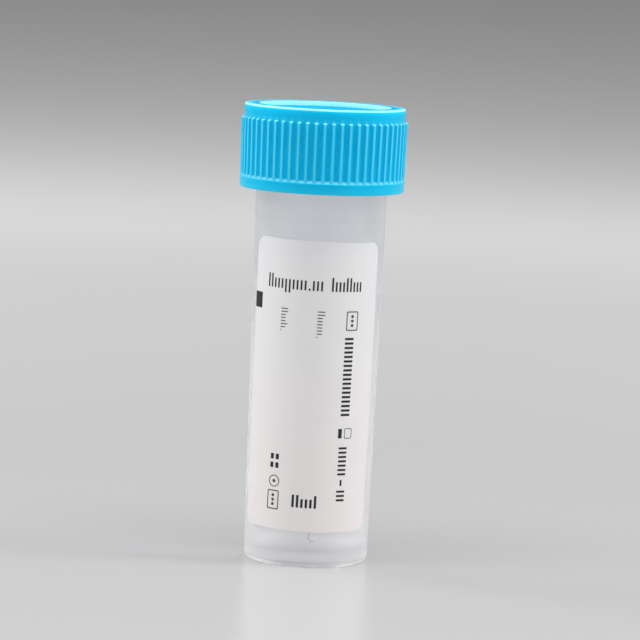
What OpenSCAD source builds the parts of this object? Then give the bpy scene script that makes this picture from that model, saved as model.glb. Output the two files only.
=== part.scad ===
// Self-standing 5 ml sample tube with a ribbed screw cap and a wrap-round label.
// The tube stands on +Z, its front faces -Y and the origin is under its middle, on the table.

/* [Tube] */
// Height of the open tube, from the table to its rim
tube_h = 55.2; // [45:0.2:80]
// Outside diameter at the foot
foot_d = 15.8; // [13:0.1:20]
// Growth of the diameter for each millimetre of height, so that the mould opens
draft = 0.0182; // [0:0.0002:0.03]
// Wall of the tube
wall = 0.95; // [0.7:0.05:1.3]
// Thickness of the floor
floor_t = 1.2; // [0.8:0.1:2]
// Height of the ring that the tube stands on
foot_h = 0.7; // [0.3:0.1:1.5]
// Width of that ring
foot_w = 1.2; // [0.9:0.1:2]
// Rounding of the tube's lower edge
foot_round = 0.6; // [0.2:0.05:0.9]
// Rounding inside, where the wall meets the floor
floor_round = 0.8; // [0.3:0.1:2]
// Diameter of the raised boss at the middle of the floor
boss_d = 3.3; // [1:0.1:6]
// Height of that boss
boss_h = 0.45; // [0.1:0.05:1]

/* [Neck and thread] */
// Length of the neck, from the rim down
neck_h = 7.2; // [6.5:0.1:9]
// How far the neck stands in from the tube's side
neck_step = 0.18; // [0.05:0.01:0.4]
// Rise of the thread in one turn
pitch = 3; // [2.6:0.1:3.4]
// Turns of thread on the neck
neck_turns = 1.4; // [1:0.1:1.5]
// Turns of thread in the cap
cap_turns = 1.4; // [1:0.1:1.6]
// Height of the neck's thread over the neck
thread_h = 0.8; // [0.5:0.05:0.9]
// Width of the thread at its root
thread_root_w = 1.5; // [1:0.1:1.6]
// Width of the thread at its crest
thread_crest_w = 0.7; // [0.4:0.1:0.9]
// Room between one thread's crest and the wall that it faces
thread_gap = 0.25; // [0.15:0.05:0.4]
// How deep the two threads reach into each other
thread_bite = 0.4; // [0.2:0.05:0.45]
// Play between the loaded flanks
flank_gap = 0.3; // [0.2:0.05:0.5]

/* [Seal ring] */
// Thickness of the seal ring
seal_t = 1; // [0.6:0.1:1.6]
// How far the ring reaches past the rim, inside and outside
seal_lap = 0.25; // [0.1:0.05:0.3]
// Room left over and under the ring
seal_gap = 0.025; // [0.02:0.005:0.1]

/* [Cap] */
// Height of the cap
cap_h = 10.6; // [9:0.05:13]
// Wall of the cap behind the grooves
cap_wall = 0.98; // [0.7:0.02:1.5]
// Thickness of the cap's top plate
plate_t = 1.2; // [0.8:0.1:2]
// Height of the plain band over the ribs
top_band_h = 1.65; // [1:0.05:2.5]
// Height of the plain band under the ribs
low_band_h = 1.65; // [1:0.05:2.5]
// How far the lower band stands out over the groove floors
low_band_out = 0.24; // [0.1:0.01:0.3]
// Rounding of the lower band's bottom edge
low_round = 0.25; // [0.1:0.05:0.3]
// Number of grip ribs
ribs = 60; // [24:1:72]
// Height of the ribs over the groove floors, at their tops
rib_h = 0.35; // [0.3:0.01:0.39]
// Radius of each groove's hollow
groove_r = 0.4; // [0.3:0.01:0.5]
// How far past the front a rib stands when the cap is tight, in degrees
cap_turned = 0.5; // [0:0.5:6]
// Rounding of the cap's upper edge
top_round = 0.25; // [0.1:0.05:0.5]
// Depth of the round recess in the top
recess_depth = 0.6; // [0.3:0.05:1]
// Width of the flat rim around the recess
rim_w = 1.85; // [1.2:0.05:3]
// Number of fine teeth around the recess
teeth = 108; // [36:1:120]
// Depth of those teeth
tooth_h = 0.15; // [0.05:0.01:0.3]
// Length of the plug that reaches into the mouth
plug_h = 2.4; // [1:0.1:4]
// Wall of the plug
plug_wall = 0.9; // [0.6:0.1:1.4]
// Room between the plug and the mouth
plug_gap = 0.4; // [0.3:0.05:0.6]

/* [Label] */
// Width of the label, along its curve
label_w = 18.7; // [8:0.1:36]
// Height of the label
label_h = 36.8; // [10:0.1:38]
// Height of the label's lower edge over the table
label_z = 4.7; // [3:0.05:8]
// Thickness of the label
label_t = 0.1; // [0.05:0.01:0.2]
// Thickness of the glue under it
glue_t = 0.02; // [0.01:0.01:0.05]
// Radius of the label's corners
label_corner = 1.5; // [0.5:0.1:3]
// How far round from the front the label's middle is stuck, in degrees
label_turned = -2.5; // [-30:0.5:30]

/* [Hidden] */
$fn = 96;

// A cut reaches this far past the face that it opens.
over = 0.5;
// A ridge is rooted this deep in the wall that carries it.
sink = 0.25;
front = -90;

// Tube, from the table up
function side_r(z) = foot_d / 2 + draft / 2 * z;
floor_z = foot_h + floor_t;
neck_z = tube_h - neck_h;
neck_r = side_r(neck_z) - neck_step;
mouth_r = neck_r - wall;
bore_r = side_r(floor_z) - wall;
shoulder_h = neck_step;
rim_round = 0.2;
gate_d = boss_d * 0.6;
gate_h = foot_h * 0.4;

// Cap, from the tube's neck out and from its rim up
crest_r = neck_r + thread_h;
skirt_r = crest_r + thread_gap;
cap_crest_r = crest_r - thread_bite;
band_r = skirt_r + cap_wall;
rib_r = band_r + rib_h;
low_r = band_r + low_band_out;
plate_z = tube_h + seal_t + 2 * seal_gap;
recess_z = plate_z + plate_t;
cap_top_z = recess_z + recess_depth;
cap_low_z = cap_top_z - cap_h;
rib_top_z = cap_top_z - top_band_h;
ledge_z = cap_low_z + low_band_h;
recess_r = band_r - rim_w;
plug_r = mouth_r - plug_gap;
lead_in = 0.5;

// Both threads climb together, so the cap's stays under the neck's by the same amount all the way.
neck_thread_z = tube_h - 1.3 - neck_turns * pitch;
flank_run = (thread_root_w - thread_crest_w) / 2;
mid_bite_w = thread_crest_w + flank_run * thread_bite / thread_h;
thread_drop = mid_bite_w + flank_gap;
cap_thread_start = 0.25;
cap_thread_z = neck_thread_z - thread_drop;

// One turn of thread has this many steps, and each end dies away over run_out of them.
turn_steps = 36;
run_out = 4;

// Steps in each rounded corner of the label, whose arc crosses the label's edges by arc_out
corner_steps = 6;
arc_out = 0.01;

// A ridge that climbs a wall of radius wall_r to a crest at crest_at, inside or outside it.
module thread_ridge(wall_r, crest_at, start_z, start_turn, turns) {
    steps = round(turns * turn_steps);
    side = sign(crest_at - wall_r);
    root_r = wall_r - side * sink;
    low_r = wall_r - side * sink / 4;
    function rise(i) = min(1, i / run_out, (steps - i) / run_out);
    function tip_r(i) = low_r + (crest_at - low_r) * rise(i);
    function at(i, r, up) =
        let (a = 360 * (start_turn + i / turn_steps))
        [r * cos(a), r * sin(a), start_z + pitch * (start_turn + i / turn_steps) + up];
    points = [for (i = [0:steps])
        each [
            at(i, root_r, -thread_root_w / 2),
            at(i, tip_r(i), -thread_crest_w / 2),
            at(i, tip_r(i), thread_crest_w / 2),
            at(i, root_r, thread_root_w / 2)
        ]];
    walls = [for (i = [0:steps - 1], k = [0:3])
        let (a = 4 * i + k, b = 4 * i + (k + 1) % 4)
        each [[a, b, b + 4], [a, b + 4, a + 4]]];
    last = 4 * steps;
    ends = [[3, 2, 1], [3, 1, 0], [last, last + 1, last + 2], [last, last + 2, last + 3]];
    faces = concat(walls, ends);
    turned_in = [for (f = faces) [f[2], f[1], f[0]]];
    polyhedron(points, side > 0 ? faces : turned_in, convexity = 6);
}

// The quarter that rounds a corner of radius r at the origin takes this piece away.
module corner_waste(r) {
    difference() {
        translate([-r, -r]) square([r + over, r + over]);
        translate([-r, -r]) circle(r);
        translate([-2 * r - over, -r - over]) square([r + over, 2 * r + over]);
        translate([-r - over, -2 * r - over]) square([2 * r + over, r + over]);
    }
}

// Half of the tube's outline, outside
module tube_outline() {
    polygon([
        [0, 0],
        [side_r(0), 0],
        [side_r(neck_z - shoulder_h), neck_z - shoulder_h],
        [neck_r, neck_z],
        [neck_r, tube_h],
        [0, tube_h]
    ]);
}

// Half of the space inside
module tube_space() {
    difference() {
        polygon([
            [0, floor_z],
            [bore_r, floor_z],
            [mouth_r, neck_z],
            [mouth_r, tube_h + over],
            [0, tube_h + over]
        ]);
        translate([bore_r, floor_z]) mirror([0, 1]) corner_waste(floor_round);
    }
}

module tube_body() {
    color("WhiteSmoke", 0.5) {
        rotate_extrude() {
            difference() {
                tube_outline();
                tube_space();
                translate([side_r(0), 0]) mirror([0, 1]) corner_waste(foot_round);
                translate([neck_r, tube_h]) corner_waste(rim_round);
                translate([-over, -over]) square([side_r(0) - foot_w + over, foot_h + over]);
            }
        }
        translate([0, 0, floor_z - sink]) cylinder(h = boss_h + sink, d = boss_d);
        translate([0, 0, foot_h - gate_h]) cylinder(h = gate_h + sink, d = gate_d);
        thread_ridge(neck_r, crest_r, neck_thread_z, 0, neck_turns);
    }
}

// Grip ribs: what the round hollows of the grooves leave standing. They lean in a little towards
// their foot, where they run into the lower band just under its edge, and are bevelled at the top.
module rib_ring() {
    bevel_h = 0.15;
    foot_r = low_r - 0.02;
    intersection() {
        translate([0, 0, cap_low_z + low_band_h / 2])
            linear_extrude(height = cap_h)
                difference() {
                    circle(rib_r + over);
                    circle(skirt_r + cap_wall / 2);
                    for (k = [0:ribs - 1])
                        rotate(front + cap_turned + (k + 0.5) * 360 / ribs)
                            translate([band_r + groove_r, 0]) circle(groove_r);
                }
        rotate_extrude()
            polygon([
                [0, 0],
                [foot_r, 0],
                [foot_r, ledge_z - low_band_out],
                [rib_r, rib_top_z - bevel_h],
                [band_r, rib_top_z],
                [0, rib_top_z]
            ]);
    }
}

// Skirt, top plate and plug, turned about the axis
module cap_shell() {
    rotate_extrude() {
        difference() {
            polygon([
                [0, plate_z],
                [plug_r - plug_wall, plate_z],
                [plug_r - plug_wall, plate_z - plug_h],
                [plug_r - lead_in, plate_z - plug_h],
                [plug_r, plate_z - plug_h + lead_in],
                [plug_r, plate_z],
                [skirt_r, plate_z],
                [skirt_r, cap_low_z + lead_in],
                [skirt_r + lead_in, cap_low_z],
                [low_r, cap_low_z],
                [low_r, ledge_z - low_band_out],
                [band_r - over, ledge_z + over],
                [band_r - over, ledge_z + 2 * over],
                [band_r, ledge_z + 2 * over],
                [band_r, cap_top_z],
                [0, cap_top_z]
            ]);
            translate([band_r, cap_top_z]) corner_waste(top_round);
            translate([low_r, cap_low_z]) mirror([0, 1]) corner_waste(low_round);
        }
    }
}

// Space of the recess, with its fine teeth
module recess_space() {
    valley_r = recess_r;
    crest_r = recess_r - tooth_h;
    translate([0, 0, recess_z])
        linear_extrude(height = recess_depth + over)
            polygon([for (k = [0:teeth - 1], half = [0, 1])
                let (a = front + cap_turned + (k + half / 2) * 360 / teeth, r = half == 0 ? valley_r : crest_r)
                [r * cos(a), r * sin(a)]]);
}

module screw_cap() {
    color("DeepSkyBlue") {
        difference() {
            union() {
                cap_shell();
                rib_ring();
            }
            recess_space();
        }
        thread_ridge(skirt_r, cap_crest_r, cap_thread_z, cap_thread_start, cap_turns);
    }
}

// A flat ring of soft rubber, with a bead on each side that meets the rim and the plate
module seal_ring() {
    inside_r = mouth_r - seal_lap;
    ring_w = wall + 2 * seal_lap;
    bead_r = seal_t / 5;
    bead_at = mouth_r + wall / 2;
    body_t = seal_t - 2 * bead_r;
    color("Gainsboro")
        translate([0, 0, tube_h + seal_gap])
            rotate_extrude() {
                translate([inside_r, bead_r]) square([ring_w, body_t]);
                translate([bead_at, bead_r]) circle(bead_r);
                translate([bead_at, seal_t - bead_r]) circle(bead_r);
            }
}

// One corner of the label, cut straight through it along the radius
module label_corner_waste(turn, z, up) {
    r = label_corner;
    arc = [for (k = [0:corner_steps])
        let (a = 90 * k / corner_steps)
        [r * (cos(a) - 1) + arc_out, r * (sin(a) - 1) + arc_out]];
    rotate(turn)
        translate([side_r(z) - 1, 0, z])
            rotate([90, 0, 90])
                linear_extrude(height = 3)
                    mirror([0, up > 0 ? 0 : 1])
                        polygon(concat(arc, [[-r, over], [over, over], [over, -r]]));
}

module label() {
    top_z = label_z + label_h;
    mid_r = side_r(label_z + label_h / 2) + glue_t + label_t;
    span = label_w / mid_r * 180 / PI;
    start = front + label_turned - span / 2;
    color("White")
        difference() {
            rotate([0, 0, start])
                rotate_extrude(angle = span)
                    polygon([
                        [side_r(label_z) + glue_t, label_z],
                        [side_r(label_z) + glue_t + label_t, label_z],
                        [side_r(top_z) + glue_t + label_t, top_z],
                        [side_r(top_z) + glue_t, top_z]
                    ]);
            for (up = [-1, 1]) {
                z = up > 0 ? top_z : label_z;
                label_corner_waste(start + span, z, up);
                mirror([0, 1, 0]) label_corner_waste(-start, z, up);
            }
        }
}

tube_body();
screw_cap();
seal_ring();
label();
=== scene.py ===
# %% [markdown]
# # A self-standing sample tube with a ribbed screw cap
#
# The object is small: a clear, slightly hazy polypropylene tube 58 mm tall with a cyan screw
# cap and a white paper label. It has four pieces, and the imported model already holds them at
# their real size. This file gives them the finish that the eye sees: the exact grip ribs and
# teeth of the cap, the thread, the haze of the plastic, the paper and its print.
#
# Lengths are written in millimetres, because a moulded part is drawn in millimetres, and `MM`
# turns them into Blender's metres when a mesh is made.

# %% Load the frame
import math
import random

import bmesh
import bpy
from mathutils import Matrix, Vector


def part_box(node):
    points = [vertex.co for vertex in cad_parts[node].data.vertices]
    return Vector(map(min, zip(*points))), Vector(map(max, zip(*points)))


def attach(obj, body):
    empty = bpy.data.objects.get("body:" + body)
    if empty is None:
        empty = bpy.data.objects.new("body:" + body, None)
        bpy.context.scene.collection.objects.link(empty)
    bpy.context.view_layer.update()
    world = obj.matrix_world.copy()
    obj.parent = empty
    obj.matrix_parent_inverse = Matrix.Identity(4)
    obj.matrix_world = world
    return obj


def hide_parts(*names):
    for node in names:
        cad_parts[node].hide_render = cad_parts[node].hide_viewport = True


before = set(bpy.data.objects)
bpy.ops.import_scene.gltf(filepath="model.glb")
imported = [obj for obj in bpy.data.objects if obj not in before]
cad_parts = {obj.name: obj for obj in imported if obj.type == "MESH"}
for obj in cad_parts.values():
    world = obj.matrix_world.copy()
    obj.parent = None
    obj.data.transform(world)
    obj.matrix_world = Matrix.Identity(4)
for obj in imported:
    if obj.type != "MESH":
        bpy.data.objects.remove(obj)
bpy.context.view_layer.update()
MM = 0.001

# %% [markdown]
# ## Sizes
#
# Every size that two pieces share is worked out once, here. The tube has a draft: its side
# leans out by a little under 1 in 100, so that the steel core can be drawn out of the mould.
# The cap's sizes follow from the tube's neck, the thread and the play between them.

# %% Sizes of the tube
FOOT_R = 7.9
LEAN = 0.0091
WALL = 0.95
FOOT_H = 0.7
FOOT_W = 1.2
FLOOR_Z = 1.9
TUBE_H = 55.2
NECK_Z = 48.0
NECK_STEP = 0.18
BOSS_R = 1.65
BOSS_H = 0.45


def side_r(z):
    """Outside radius of the tube at a height."""
    return FOOT_R + LEAN * z


NECK_R = side_r(NECK_Z) - NECK_STEP
MOUTH_R = NECK_R - WALL
BORE_R = side_r(FLOOR_Z) - WALL
print(f"tube: foot {2 * FOOT_R:.1f} mm, neck {2 * NECK_R:.2f} mm, mouth {2 * MOUTH_R:.2f} mm")

# %% Sizes of the thread and the cap
PITCH = 3.0
THREAD_TURNS = 1.4
THREAD_H = 0.8
THREAD_ROOT_W = 1.5
THREAD_CREST_W = 0.7
NECK_THREAD_Z = 49.7
CAP_THREAD_Z = 48.5
CAP_THREAD_START = 0.25

THREAD_PLAY = 0.25
THREAD_BITE = 0.4
SKIRT_WALL = 0.98
RIB_H = 0.35
RIM_W = 1.85
PLUG_PLAY = 0.4
PLUG_WALL = 0.9
PLUG_H = 2.4
LEAD_IN = 0.5
LOW_OUT = 0.24

CREST_R = NECK_R + THREAD_H
SKIRT_R = CREST_R + THREAD_PLAY
CAP_CREST_R = CREST_R - THREAD_BITE
BAND_R = SKIRT_R + SKIRT_WALL
RIB_R = BAND_R + RIB_H
LOW_R = BAND_R + LOW_OUT
RECESS_R = BAND_R - RIM_W
PLUG_R = MOUTH_R - PLUG_PLAY

CAP_LOW_Z = 47.45
LEDGE_Z = 49.1
PLATE_Z = 56.25
RIB_TOP_Z = 56.4
RIB_BEVEL_H = 0.15
RECESS_Z = 57.45
CAP_TOP_Z = 58.05
RIM_H = 1.2
RIM_Z = CAP_TOP_Z - RIM_H
RIBS = 60
TEETH = 108
TOOTH_H = 0.15
CAP_TURN = -89.5

packed_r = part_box("screw_cap")[1].x / MM
print(f"cap: ribs out to {RIB_R:.3f} mm, and the packed cap reaches {packed_r:.3f} mm")

# %% Sizes of the label
LABEL_W = 18.7
LABEL_H = 36.8
LABEL_Z = 4.7
LABEL_CORNER = 1.5
LABEL_TURN = -2.5
LABEL_TILT = 0.013
GLUE_T = 0.02
PAPER_T = 0.1
PAPER_FACE = GLUE_T + PAPER_T
ARC_R = side_r(LABEL_Z + LABEL_H / 2) + PAPER_FACE
LABEL_MID = math.radians(LABEL_TURN) * ARC_R
print(f"label: {LABEL_W} mm wide, its middle {LABEL_MID:.2f} mm round from the front")

# %% [markdown]
# ## The camera
#
# A small product is shown best through a long lens from well back, so that its sides stay
# nearly parallel. Here a 185 mm lens stands 0.42 m away, a little above the cap, and looks
# down by seven degrees. It is also rolled a little, which makes the tube lean to the right.
# A camera is aimed most simply by writing its three axes as a matrix.

# %% The camera
LENS = 184.95
EYE = Vector((0.0, -0.416, 0.0808))
DOWN = 0.1199
YAW = 0.0013
ROLL = 0.0455


def aim(eye, down, yaw, roll):
    """World matrix of a camera that looks along +Y, turned by three small angles."""
    flat = math.cos(down)
    ahead = Vector((math.sin(yaw) * flat, math.cos(yaw) * flat, -math.sin(down)))
    right = Vector((math.cos(yaw), -math.sin(yaw), 0.0))
    up = right.cross(ahead)
    side = math.cos(roll) * right + math.sin(roll) * up
    top = math.cos(roll) * up - math.sin(roll) * right
    turned = Matrix((side, top, -ahead)).transposed()
    return Matrix.Translation(eye) @ turned.to_4x4()


lens = bpy.data.cameras.new("camera")
lens.lens = LENS
lens.sensor_width = 36.0
lens.clip_start = 0.01
lens.clip_end = 50.0
camera = bpy.data.objects.new("camera", lens)
camera.matrix_world = aim(EYE, DOWN, YAW, ROLL)
bpy.context.scene.collection.objects.link(camera)
bpy.context.scene.camera = camera
bpy.context.scene.view_settings.view_transform = "Standard"
print(f"camera: {LENS:.0f} mm lens at {EYE.length:.3f} m")

# %% [markdown]
# ## Helpers for node trees
#
# Shader trees and Geometry Nodes trees are built the same way: add a node, set some of its
# inputs to plain values and join others to what comes before. `place` does all three at once,
# so each line below reads as one step of the recipe. `new_tree` makes a tree with named
# inputs and outputs, which is what lets the same tree serve several pieces. The others are
# steps that several trees take, such as a ramp of colours or the end of a tree for shapes.


# %% Helpers for node trees
def place(tree, kind, inputs=None, **settings):
    """Add a node with settings. Inputs take values, sockets, or nodes for their first output."""
    node = tree.nodes.new(kind)
    for name, value in settings.items():
        setattr(node, name, value)
    for name, value in (inputs or {}).items():
        if isinstance(value, bpy.types.Node):
            value = value.outputs[0]
        if isinstance(value, bpy.types.NodeSocket):
            tree.links.new(value, node.inputs[name])
        else:
            node.inputs[name].default_value = value
    return node


def socket_for(start):
    """Socket type that holds a start value: a whole number, a number or a colour."""
    if isinstance(start, int):
        return "NodeSocketInt"
    return "NodeSocketFloat" if isinstance(start, float) else "NodeSocketColor"


def new_tree(name, kind, inputs, outputs):
    """A tree and its given inputs, which are named as {name: socket type or start value}."""
    tree = bpy.data.node_groups.new(name, kind)
    for label, start in inputs.items():
        socket_type = start if isinstance(start, str) else socket_for(start)
        socket = tree.interface.new_socket(label, in_out="INPUT", socket_type=socket_type)
        if not isinstance(start, str):
            socket.default_value = start
    for label, socket_type in outputs.items():
        tree.interface.new_socket(label, in_out="OUTPUT", socket_type=socket_type)
    return tree, place(tree, "NodeGroupInput").outputs


def shape_tree(name, sizes):
    """A Geometry Nodes tree that takes geometry, sizes and a material, and its given inputs."""
    inputs = {"Geometry": "NodeSocketGeometry", **sizes, "Material": "NodeSocketMaterial"}
    return new_tree(name, "GeometryNodeTree", inputs, {"Geometry": "NodeSocketGeometry"})


def math_node(tree, operation, *values):
    """A Math node, as its result socket."""
    return place(tree, "ShaderNodeMath", dict(enumerate(values)), operation=operation).outputs[0]


def mixed(tree, share, one, other):
    """A colour between two others, as its result socket."""
    inputs = {"Factor": share, 6: one, 7: other}
    return place(tree, "ShaderNodeMix", inputs, data_type="RGBA").outputs[2]


def ramp_of(tree, share, stops):
    """A ramp of colours, given as (position, colour), as its result socket."""
    node = place(tree, "ShaderNodeValToRGB", {"Fac": share})
    marks = node.color_ramp.elements
    while len(marks) < len(stops):
        marks.new(0.5)
    for mark, (position, colour) in zip(marks, stops):
        mark.position = position
        mark.color = colour
    return node.outputs["Color"]


def height_share(tree, low, high):
    """From 0 at one height to 1 at another, both in millimetres, as its result socket."""
    where = place(tree, "ShaderNodeTexCoord").outputs["Object"]
    height = place(tree, "ShaderNodeSeparateXYZ", {0: where}).outputs["Z"]
    limits = {"Value": height, "From Min": low * MM, "From Max": high * MM}
    return place(tree, "ShaderNodeMapRange", limits).outputs[0]


def close_tree(tree, geometry, material):
    """End a Geometry Nodes tree: instances become real, and all of it takes the material."""
    real = place(tree, "GeometryNodeRealizeInstances", {"Geometry": geometry})
    painted = place(tree, "GeometryNodeSetMaterial", {"Geometry": real, "Material": material})
    place(tree, "NodeGroupOutput", {"Geometry": painted})
    print(f"tree: {tree.name}, {len(tree.nodes)} nodes")
    return tree


print("helpers: place, new_tree, shape_tree, math_node, mixed, ramp_of, height_share, close_tree")

# %% [markdown]
# ## Helpers for meshes
#
# Turned parts are one outline spun round the axis. `eased` rounds the corners of an outline,
# because no moulded edge is perfectly sharp, and it is those small roundings that catch the
# light. `lathe` spins it. A tree of Geometry Nodes is run by `grown` and its result is made a
# plain mesh by `settled`, since only plain meshes can be posed and exported.


# %% Helpers for meshes
def eased(corners, steps=5):
    """An open outline with rounded corners. Each corner is (radius, height, rounding)."""
    points = []
    for i, (r, z, ease) in enumerate(corners):
        here = Vector((r, z))
        if ease == 0:
            points.append((r, z))
            continue
        back = (Vector(corners[i - 1][:2]) - here).normalized()
        on = (Vector(corners[i + 1][:2]) - here).normalized()
        half = back.angle(on) / 2
        middle = here + (back + on).normalized() * ease / math.sin(half)
        first = here + back * ease / math.tan(half) - middle
        last = here + on * ease / math.tan(half) - middle
        swing = (last.angle_signed(first) + math.pi) % math.tau - math.pi
        for k in range(steps + 1):
            arm = Matrix.Rotation(swing * k / steps, 2) @ first
            points.append(tuple(middle + arm))
    return points


def new_object(name, mesh):
    """An object for a mesh, in the scene, at the origin."""
    obj = bpy.data.objects.new(name, mesh)
    bpy.context.scene.collection.objects.link(obj)
    return obj


def from_bmesh(name, bm):
    """An object from a bmesh that is drawn in millimetres."""
    bmesh.ops.transform(bm, matrix=Matrix.Scale(MM, 4), verts=bm.verts)
    mesh = bpy.data.meshes.new(name)
    bm.to_mesh(mesh)
    bm.free()
    return new_object(name, mesh)


def lathe(bm, outline, steps):
    """Spin an outline of (radius, height) round the axis. Returns its rings, a pole's of one."""
    rings = []
    for r, z in outline:
        count = steps if r else 1
        turns = [math.tau * k / count for k in range(count)]
        rings.append([bm.verts.new((r * math.cos(a), r * math.sin(a), z)) for a in turns])
    for low, high in zip(rings, rings[1:]):
        for k in range(steps):
            corners = [low[k % len(low)], low[(k + 1) % len(low)]]
            corners += [high[(k + 1) % len(high)], high[k % len(high)]]
            bm.faces.new(dict.fromkeys(corners))
    return rings


def settled(obj):
    """Make what an object's modifiers show its plain mesh, and clear them."""
    seen = obj.evaluated_get(bpy.context.evaluated_depsgraph_get())
    mesh = bpy.data.meshes.new_from_object(seen)
    obj.modifiers.clear()
    obj.data = mesh
    mesh.name = obj.name
    return obj


def grown(obj, tree, **values):
    """Run a Geometry Nodes tree on an object, with its inputs given by name."""
    modifier = obj.modifiers.new(tree.name, "NODES")
    modifier.node_group = tree
    for item in tree.interface.items_tree:
        if item.in_out == "INPUT" and item.name in values:
            modifier[item.identifier] = values[item.name]
    return settled(obj)


def smoothed(obj, sharp_over=40):
    """Shade an object smooth, apart from edges that turn by more than an angle in degrees."""
    obj.data.polygons.foreach_set("use_smooth", [True] * len(obj.data.polygons))
    obj.data.set_sharp_from_angle(angle=math.radians(sharp_over))
    print(f"{obj.name}: {len(obj.data.polygons)} faces")
    return obj


print("helpers: eased, new_object, from_bmesh, lathe, settled, grown, smoothed")

# %% [markdown]
# ## Effects that several materials share
#
# A moulded or printed surface is never one flat colour. Two node groups give that life, and
# each material sets them to its own strength. *Mottle* shifts a colour a little lighter and
# darker in soft clouds, with a fine speckle on top. *Fine grain* turns a noise into a normal,
# for the satin of a spark-eroded mould or the tooth of paper. Both read Object coordinates, so
# the pattern stays fixed to the piece.


# %% The mottle and grain groups
SPECK_SHARE = 0.35
NOISE_GAIN = 4.0


def noise_of(tree, size, detail):
    """Noise that is fixed to the piece, with clouds of a size in metres, as its result socket."""
    where = place(tree, "ShaderNodeTexCoord").outputs["Object"]
    scale = math_node(tree, "DIVIDE", 1.0, size)
    inputs = {"Vector": where, "Scale": scale, "Detail": detail}
    return place(tree, "ShaderNodeTexNoise", inputs).outputs["Fac"]


def mottle_group():
    """Colour that varies in clouds and specks. Amount is the share by which it may change."""
    tree, given = new_tree(
        "mottle",
        "ShaderNodeTree",
        {"Colour": (0.8, 0.8, 0.8, 1.0), "Cloud size": 0.004, "Speck size": 0.0003, "Amount": 0.05},
        {"Colour": "NodeSocketColor", "Clouds": "NodeSocketFloat"},
    )
    clouds = noise_of(tree, given["Cloud size"], 2.0)
    specks = noise_of(tree, given["Speck size"], 1.0)
    both = math_node(tree, "MULTIPLY_ADD", specks, SPECK_SHARE, clouds)
    centred = math_node(tree, "SUBTRACT", both, (1 + SPECK_SHARE) / 2)
    swing = math_node(tree, "MULTIPLY", given["Amount"], NOISE_GAIN)
    inputs = {0: given["Colour"], "Scale": math_node(tree, "MULTIPLY_ADD", centred, swing, 1.0)}
    tint = place(tree, "ShaderNodeVectorMath", inputs, operation="SCALE")
    place(tree, "NodeGroupOutput", {"Colour": tint, "Clouds": clouds})
    return tree


def grain_group():
    """A normal that is rippled by fine noise."""
    sizes = {"Grain size": 0.0002, "Strength": 0.1, "Depth": 0.00001}
    tree, given = new_tree("fine grain", "ShaderNodeTree", sizes, {"Normal": "NodeSocketVector"})
    height = noise_of(tree, given["Grain size"], 2.0)
    inputs = {"Height": height, "Strength": given["Strength"], "Distance": given["Depth"]}
    place(tree, "NodeGroupOutput", {"Normal": place(tree, "ShaderNodeBump", inputs)})
    return tree


MOTTLE = mottle_group()
GRAIN = grain_group()
print("shader groups:", MOTTLE.name, "and", GRAIN.name)


# %% Start and finish a material
def new_material(name, roughness, **plain):
    """A material with one Principled shader. plain sets its other sockets, such as IOR=1.5."""
    material = bpy.data.materials.new(name)
    material.use_nodes = True
    tree = material.node_tree
    shader = tree.nodes["Principled BSDF"]
    shader.inputs["Roughness"].default_value = roughness
    for socket, value in plain.items():
        shader.inputs[socket.replace("_", " ")].default_value = value
    print("material:", name)
    return material, tree, shader


def finish(tree, shader, colour, clouds, specks, amount, grain, strength):
    """Feed a shader from the two shared groups, with sizes in millimetres. Returns the clouds."""
    inputs = {"Colour": colour, "Amount": amount}
    inputs |= {"Cloud size": clouds * MM, "Speck size": specks * MM}
    mottle = place(tree, "ShaderNodeGroup", inputs, node_tree=MOTTLE).outputs
    inputs = {"Grain size": grain * MM, "Strength": strength}
    ripple = place(tree, "ShaderNodeGroup", inputs, node_tree=GRAIN).outputs
    tree.links.new(mottle["Colour"], shader.inputs["Base Color"])
    tree.links.new(ripple["Normal"], shader.inputs["Normal"])
    return mottle["Clouds"]


print("helpers: new_material, finish")

# %% [markdown]
# ## The thread
#
# A moulded thread is one ridge with sloping flanks that climbs round the wall. On both pieces
# it is a trapezoid swept along a helix, so one Geometry Nodes tree makes both. The spiral is
# the path, the trapezoid is the profile, and near each end the profile shrinks into the wall,
# because a mould can't leave a blunt end that would bite the other thread.


# %% The thread tree
LEAST_SCALE = 0.05


def about_axis(tree, angle):
    """A turn about the object's axis, as a node."""
    return place(tree, "FunctionNodeAxisAngleToRotation", {"Axis": (0, 0, 1), "Angle": angle})


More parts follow.
